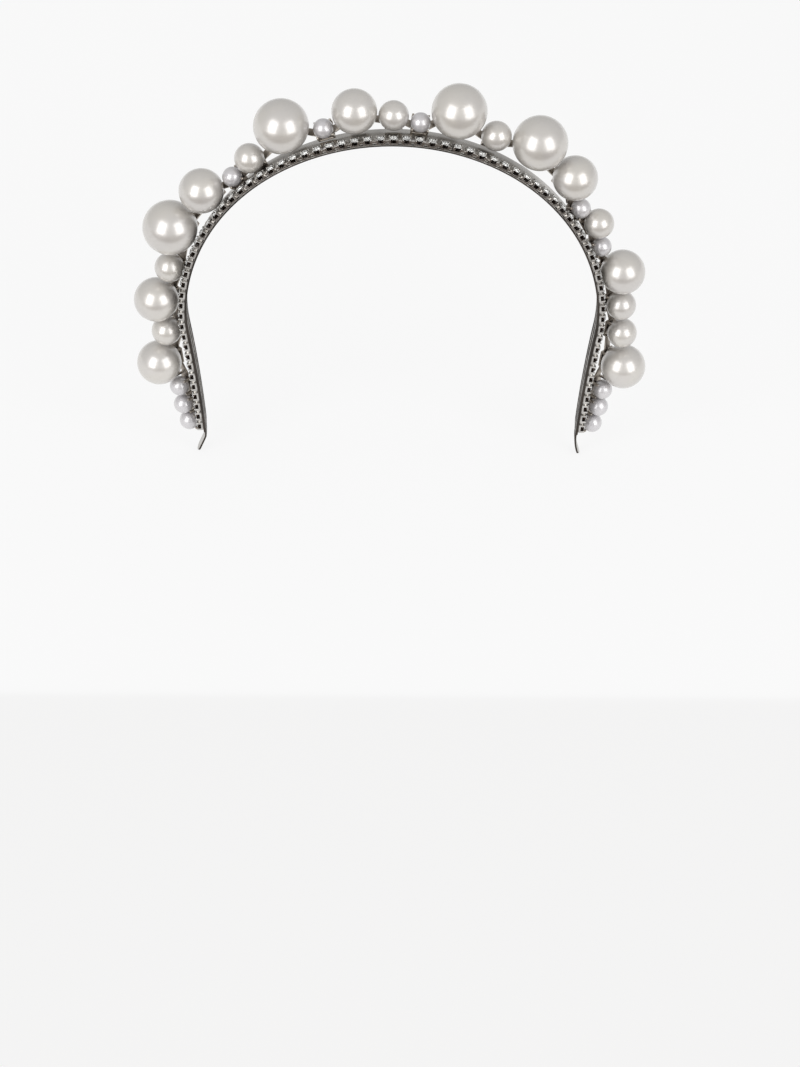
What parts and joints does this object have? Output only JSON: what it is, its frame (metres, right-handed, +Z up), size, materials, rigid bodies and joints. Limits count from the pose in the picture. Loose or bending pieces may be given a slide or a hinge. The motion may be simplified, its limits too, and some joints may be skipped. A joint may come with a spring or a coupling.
{
  "type": "headband",
  "caption": "Springy metal headband with a crystal chain along its front edge and a row of mixed-size pearls in tilted claw settings behind it.",
  "frame": {"origin": "centre of the crown arc, half way across the width of the band, where the middle of the head comes", "axes": "+Z up over the crown, +X to the right seen from the front, +Y to the back; the crystal chain is on the -Y side"},
  "size_m": [0.2061, 0.022, 0.173],
  "materials": {
    "band_steel": "polished, darkened steel",
    "chain_metal": "bright plated, darker in its recesses",
    "crystal": "faceted, foil backed",
    "pearl": "pearlescent warm white lacquer",
    "pearl_seed": "pearlescent cool white lacquer",
    "setting_metal": "plated, slightly tarnished"
  },
  "bodies": {
    "root": {"band": "band_steel", "chain_cups_left": "chain_metal", "chain_cups_right": "chain_metal", "chain_links": "chain_metal", "claw_settings_large": "setting_metal", "claw_settings_medium": "setting_metal", "claw_settings_seed": "setting_metal", "claw_settings_small": "setting_metal", "crystals_left": "crystal", "crystals_right": "crystal", "pearl_01_seed": "pearl_seed", "pearl_02_seed": "pearl_seed", "pearl_03_seed": "pearl_seed", "pearl_04_medium": "pearl", "pearl_05_small": "pearl", "pearl_06_medium": "pearl", "pearl_07_small": "pearl", "pearl_08_large": "pearl", "pearl_09_medium": "pearl", "pearl_10_seed": "pearl_seed", "pearl_11_small": "pearl", "pearl_12_large": "pearl", "pearl_13_seed": "pearl_seed", "pearl_14_medium": "pearl", "pearl_15_small": "pearl", "pearl_16_seed": "pearl_seed", "pearl_17_large": "pearl", "pearl_18_small": "pearl", "pearl_19_large": "pearl", "pearl_20_medium": "pearl", "pearl_21_seed": "pearl_seed", "pearl_22_small": "pearl", "pearl_23_seed": "pearl_seed", "pearl_24_medium": "pearl", "pearl_25_small": "pearl", "pearl_26_small": "pearl", "pearl_27_medium": "pearl", "pearl_28_seed": "pearl_seed", "pearl_29_seed": "pearl_seed", "pearl_30_seed": "pearl_seed", "pearl_pegs": "setting_metal", "setting_links": "setting_metal"}
  },
  "joints": []
}
